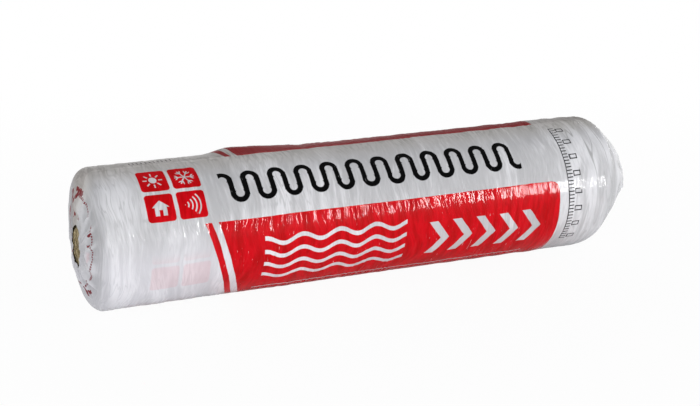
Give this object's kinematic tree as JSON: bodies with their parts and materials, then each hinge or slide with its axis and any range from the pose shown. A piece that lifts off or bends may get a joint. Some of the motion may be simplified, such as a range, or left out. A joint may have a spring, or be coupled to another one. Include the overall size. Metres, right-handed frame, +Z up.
{
  "type": "insulation roll",
  "caption": "Roll of stone-wool insulation in white printed packing film, lying on its side, with one end tucked flat around a ragged opening and the other gathered to a cone.",
  "frame": {"origin": "on the floor, below the middle of the overall length (the middle of the bottom of the bounding box)", "axes": "+X along the roll's axis, from the tucked flat end to the gathered end; +Z up; -Y is the side that the picture shows"},
  "size_m": [1.3262, 0.3014, 0.3016],
  "materials": {
    "stone_wool": "matt, fibrous, olive-brown stone wool",
    "printed_film": "glossy white polyethylene film with plain red and black printing"
  },
  "bodies": {
    "root": {"wool_roll": "stone_wool", "film_wrap": "printed_film"}
  },
  "joints": []
}
